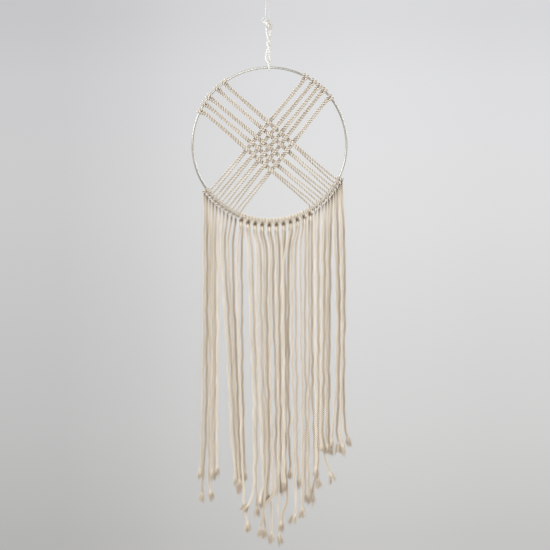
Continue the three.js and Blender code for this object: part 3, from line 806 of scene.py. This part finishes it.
# Painted shade on the knot's wraps and where the cord rises through it; along the front diagonal it
# fades to painted light at the upper left.
wrapping = [in_knot(*place) for place in [
    (-2.6, 2.0, -2.4), (-1.5, 2.8, 2.2), (1.5, 2.6, 5.5), (5, 1.4, 6), (7.2, 0, 2.5),
    (7.2, -1.6, -2.4), (4.4, -4.4, -5, 3, 0.22), (1.6, -6.4, -1.6, 3.8, 0.12),
    (-1.8, -7, 2.2, 4.3, 0), (-4.6, -6.2, 5.8, 4.2, -0.1), (-6, -5.4, 7.8, 3.6, -0.1),
]]
rising = [in_knot(*place) for place in [
    (4.4, 1.6, -3.2), (2.9, 0.3, 0.6), (2.0, -0.6, 4.2), (2.6, -0.6, 7),
]]
hanger_route = (
    wrapping[::-1] + [(*on_grid(*place), hanger_radius) for place in hanger_places] + rising)
hanger_line = smooth_line(hanger_route, 0.0009)
bundle = Bundle()
# Only faint painted shade between the hanger's plies.
hanger_turn = lay_cord(bundle, hanger_line, taper=True, ply_shade_strength=0.42)
finish_cord(bundle, "hanger_loop", "hanger", "hanger_cord", finish=white_cotton)
fringe = Bundle()
rng = np.random.default_rng(700)
open_end(fringe, hanger_line, hanger_turn, rng, 0.006, 60, (0.2, 0.6))
open_end(fringe, hanger_line[::-1], 0, rng, 0.009, 160, (-0.2, 0.3))
loose_fibres(fringe, hanger_line, rng, 200)
finish_cord(fringe, "hanger_fibres", "hanger", finish=white_cotton)


# Hoop
# One ring of round metal rod, four millimetres thick, welded shut, with a pale satin champagne
# plating that shows faint drawing lines round the rod.
ring_steps, rod_steps = 288, 20
ring = Bundle()
turns = np.linspace(0, 2 * math.pi, ring_steps, endpoint=False)
sections = np.linspace(0, 2 * math.pi, rod_steps, endpoint=False)
reach = ring_radius + rod_radius * np.cos(sections)[None, :]
ring_points = np.stack(np.broadcast_arrays(
    ring_centre[0] + reach * np.cos(turns)[:, None],
    rod_radius * np.sin(sections)[None, :],
    ring_centre[2] + reach * np.sin(turns)[:, None],
), axis=-1).reshape(-1, 3)
row = np.arange(ring_steps)[:, None]
column = np.arange(rod_steps)[None, :]
next_row, next_column = (row + 1) % ring_steps, (column + 1) % rod_steps
ring_faces = np.stack(np.broadcast_arrays(
    row * rod_steps + column, row * rod_steps + next_column,
    next_row * rod_steps + next_column, next_row * rod_steps + column), axis=-1).reshape(-1, 4)
ring_fibres = np.stack(np.broadcast_arrays(
    np.cos(sections)[None, :], np.sin(sections)[None, :],
    np.abs(turns[:, None] - math.pi) * ring_radius), axis=-1).reshape(-1, 3)
ring.add(ring_points, ring_faces, ring_fibres, np.zeros(len(ring_points)))
plating, surface, shade = new_finish("champagne_plating")
fibre = shade.node("ShaderNodeAttribute", {"attribute_name": "fibre"}, output=1)
lines = noise_along(fibre, (14, 14, 30), 3.0)
clouds = noise_along(fibre, (1, 1, 9), 3.0)
colour = shade.node("ShaderNodeValToRGB", {"stops": [
    (0.35, (0.40, 0.395, 0.36)), (0.5, (0.44, 0.435, 0.40)), (0.68, (0.49, 0.485, 0.45)),
]}, {0: clouds})
roughness = 0.27 + lines * 0.06
shade.tree.links.new(colour.socket, surface.inputs["Base Color"])
shade.tree.links.new(roughness.socket, surface.inputs["Roughness"])
surface.inputs["Metallic"].default_value = 1.0
hoop = ring.mesh("hoop_ring", plating)
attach(hoop, "hoop_and_web")
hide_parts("hoop")


# Thread
# A thin white cotton thread, doubled: it passes under the hanger's knot, one strand in front of the
# knot and one behind, and is knotted into a small loop just above the picture.
thread_places = [
    (266.9, -6.85, 0), (266.3, 0, -1.4), (265.6, 12, -4.1), (265.5, 20, -5.8), (267.2, 25.6, -5.8),
    (268, 27.4, -5.7), (268.7, 28.9, -3.6), (269.1, 29.6, 0), (269.2, 28.9, 3.6), (269.5, 27.4, 5.7),
    (269.5, 25.6, 5.8), (269.4, 20, 5.8), (269.1, 12, 4.1), (268.5, 0, 1.4), (267.8, -6.85, 0),
]
thread_radius = 0.00075
white, surface, shade = new_finish("white_thread")
fibre = shade.node("ShaderNodeAttribute", {"attribute_name": "fibre"}, output=1)
twist = noise_along(fibre, (2.5, 2.5, 600), 3.0)
colour = shade.node("ShaderNodeValToRGB", {"stops": [
    (0.3, (0.60, 0.60, 0.60)), (0.7, (0.74, 0.745, 0.75)),
]}, {0: twist})
bump = shade.node("ShaderNodeBump", {}, {"Height": twist, "Strength": 0.4, "Distance": 0.0001})
shade.tree.links.new(colour.socket, surface.inputs["Base Color"])
shade.tree.links.new(bump.socket, surface.inputs["Normal"])
surface.inputs["Roughness"].default_value = 0.9


def twisted_thread(bundle, line, lay=0.003):
    """Three plies of thread laid round each other."""
    _, normals, binormals = carried_frames(line)
    steps = travelled(line)
    for ply in range(3):
        turn = (ply * 2 * math.pi / 3 + 2 * math.pi * steps / lay)[:, None]
        out = np.cos(turn) * normals + np.sin(turn) * binormals
        places = line[:, :3] + 0.38 * line[:, 3:4] * out
        thin_strand(bundle, places, 0.66 * line[:, 3], 7)


thread_line = smooth_line([(*on_grid(*place), thread_radius) for place in thread_places], 0.0005)
bundle = Bundle()
twisted_thread(bundle, thread_line)
thread = bundle.mesh("thread_doubled", white)
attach(thread, "thread")
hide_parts("hanging_thread")
loop_places = [
    (267.2, -7.2, 0), (266.6, -9.4, 0), (266.5, -12, 0), (266.8, -14.4, 0), (267.3, -15.2, 0),
    (267.8, -14.4, 0), (268.1, -12, 0), (268, -9.4, 0), (267.5, -7.2, 0),
]
loop_line = smooth_line([(*on_grid(*place), thread_radius) for place in loop_places], 0.0004)
loop_knot = on_grid(267.35, -7.9)
coil_turns = 2.2
coil_height = 0.0021
coil = []
for u in np.linspace(0, 1, 22):
    turn = 2 * math.pi * coil_turns * u
    coil.append((
        loop_knot[0] + 0.00105 * math.cos(turn), 0.0008 * math.sin(turn),
        loop_knot[2] + 0.0011 - coil_height * u + 0.0003 * math.sin(turn * 1.5), thread_radius * 0.9))
bundle = Bundle()
twisted_thread(bundle, loop_line)
twisted_thread(bundle, smooth_line(coil, 0.0003))
loop = bundle.mesh("thread_top_loop", white)
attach(loop, "hanging_point_loop")
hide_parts("thread_loop")


# Wall, floor and light
# A plain pale wall far behind the hanging and a pale floor, in soft daylight from a large window on
# the left, filled from the room in front and from behind. The wall's glow, seen straight on and in
# reflections, is painted light, lighter to the upper right.
wall_distance = 3.4
room_half_width = 9
floor_height = -2.4
wall_data = bpy.data.meshes.new("wall")
wall_data.from_pydata(
    [(side * room_half_width, wall_distance, height)
     for side, height in ((-1, floor_height), (1, floor_height), (1, 6), (-1, 6))],
    [], [(0, 1, 2, 3)])
wall = bpy.data.objects.new("wall", wall_data)
bpy.context.scene.collection.objects.link(wall)
floor_data = bpy.data.meshes.new("floor")
floor_data.from_pydata(
    [(side * room_half_width, depth, floor_height)
     for side, depth in ((-1, -6), (1, -6), (1, wall_distance), (-1, wall_distance))],
    [], [(0, 1, 2, 3)])
floor = bpy.data.objects.new("floor", floor_data)
bpy.context.scene.collection.objects.link(floor)
plaster, surface, shade = new_finish("pale_wall")
surface.inputs["Base Color"].default_value = (0.62, 0.62, 0.61, 1)
surface.inputs["Roughness"].default_value = 0.95
place = shade.node("ShaderNodeTexCoord", output=3)
rightward = shade.node("ShaderNodeSeparateXYZ", {}, {0: place})
upward = shade.node("ShaderNodeSeparateXYZ", {}, {0: place}, 2)
wall_grid = grid * (view_distance + wall_distance) / view_distance
low_x, high_x = (view_centre[0] + (column - half_view) * wall_grid for column in (62, 488))
low_z, high_z = (view_centre[2] + (half_view - row) * wall_grid for row in (540, 15))
rightwards = shade.node("ShaderNodeMapRange", {"clamp": True}, {
    "Value": rightward, "From Min": low_x, "From Max": high_x, "To Min": 0.0, "To Max": 1.0})
upwards = shade.node("ShaderNodeMapRange", {"clamp": True}, {
    "Value": upward, "From Min": low_z, "From Max": high_z, "To Min": 0.0, "To Max": 1.0})
# Painted light: the glow that the camera, reflections and glass see is lighter upwards and to the
# right; other rays see the plain diffuse wall.
painted_light_up = shade.node("ShaderNodeValToRGB", {"stops": [
    (0.0, (0.573, 0.571, 0.564)), (0.08, (0.606, 0.604, 0.598)), (0.21, (0.651, 0.650, 0.645)),
    (0.34, (0.680, 0.680, 0.676)), (0.61, (0.745, 0.745, 0.745)), (0.74, (0.756, 0.758, 0.765)),
    (0.88, (0.748, 0.751, 0.762)), (1.0, (0.705, 0.708, 0.720)),
]}, {0: upwards})
painted_light_across = shade.node("ShaderNodeValToRGB", {"stops": [
    (0.0, (0.80, 0.80, 0.80)), (0.066, (0.82, 0.82, 0.82)), (0.16, (0.85, 0.85, 0.85)),
    (0.29, (0.915, 0.915, 0.915)), (0.5, (0.975, 0.975, 0.975)), (0.69, (1.0, 1.0, 1.0)),
    (0.84, (0.99, 0.99, 0.99)), (1.0, (0.97, 0.97, 0.97)),
]}, {0: rightwards})
painted_light_colour = shade.node(
    "ShaderNodeMix", {"data_type": "RGBA", "blend_type": "MULTIPLY"}, {0: 1.0, 6: painted_light_up, 7: painted_light_across}, 2)
painted_wall_glow = shade.node("ShaderNodeEmission", {}, {"Color": painted_light_colour, "Strength": 1.0})
seen = shade.node("ShaderNodeLightPath", output="Is Camera Ray")
mirrored = shade.node("ShaderNodeLightPath", output="Is Glossy Ray")
through = shade.node("ShaderNodeLightPath", output="Is Transmission Ray")
both = shade.node("ShaderNodeMixShader", {}, {0: seen + mirrored + through, 1: shade, 2: painted_wall_glow})
shade.tree.links.new(both.socket, shade.tree.nodes["Material Output"].inputs["Surface"])
wall_data.materials.append(plaster)
boards, surface, shade = new_finish("pale_floor")
surface.inputs["Base Color"].default_value = (0.55, 0.55, 0.54, 1)
surface.inputs["Roughness"].default_value = 0.9
floor_data.materials.append(boards)

world = bpy.data.worlds.new("daylight")
world.use_nodes = True
world.node_tree.nodes["Background"].inputs["Color"].default_value = (1.0, 0.95, 0.875, 1)
world.node_tree.nodes["Background"].inputs["Strength"].default_value = 0.70
daylight = Shade(world.node_tree, world.node_tree.nodes["Background"].outputs[0])
plain = daylight.node("ShaderNodeBackground", {}, {"Color": (0.70, 0.70, 0.705, 1)})
seen = daylight.node("ShaderNodeLightPath", output="Is Camera Ray")
either = daylight.node("ShaderNodeMixShader", {}, {0: seen, 1: daylight, 2: plain})
world.node_tree.links.new(either.socket, world.node_tree.nodes["World Output"].inputs["Surface"])
bpy.context.scene.world = world

hanging_middle = np.array([0.0, 0.0, -0.55])


def soft_light(name, place, size, power, colour):
    """A round soft lamp that faces the middle of the hanging."""
    lamp = bpy.data.lights.new(name, "AREA")
    lamp.shape = "DISK"
    lamp.size = size
    lamp.energy = power
    lamp.color = colour
    holder = bpy.data.objects.new(name, lamp)
    holder.location = place
    aim = hanging_middle - np.array(place)
    holder.rotation_euler = (
        math.atan2(math.hypot(aim[0], aim[1]), -aim[2]), 0, math.atan2(aim[1], aim[0]) - math.pi / 2)
    bpy.context.scene.collection.objects.link(holder)


soft_light("window", (-2.3, -1.5, 0.75), 1.7, 50, (0.97, 0.98, 1.0))
soft_light("ceiling", (-0.6, -1.2, 1.7), 1.3, 12, (0.96, 0.975, 1.0))
soft_light("room", (0.5, -2.8, -1.0), 1.6, 36, (1.0, 0.98, 0.96))
soft_light("behind", (1.9, 2.9, 0.7), 1.2, 46, (1.0, 0.99, 0.97))
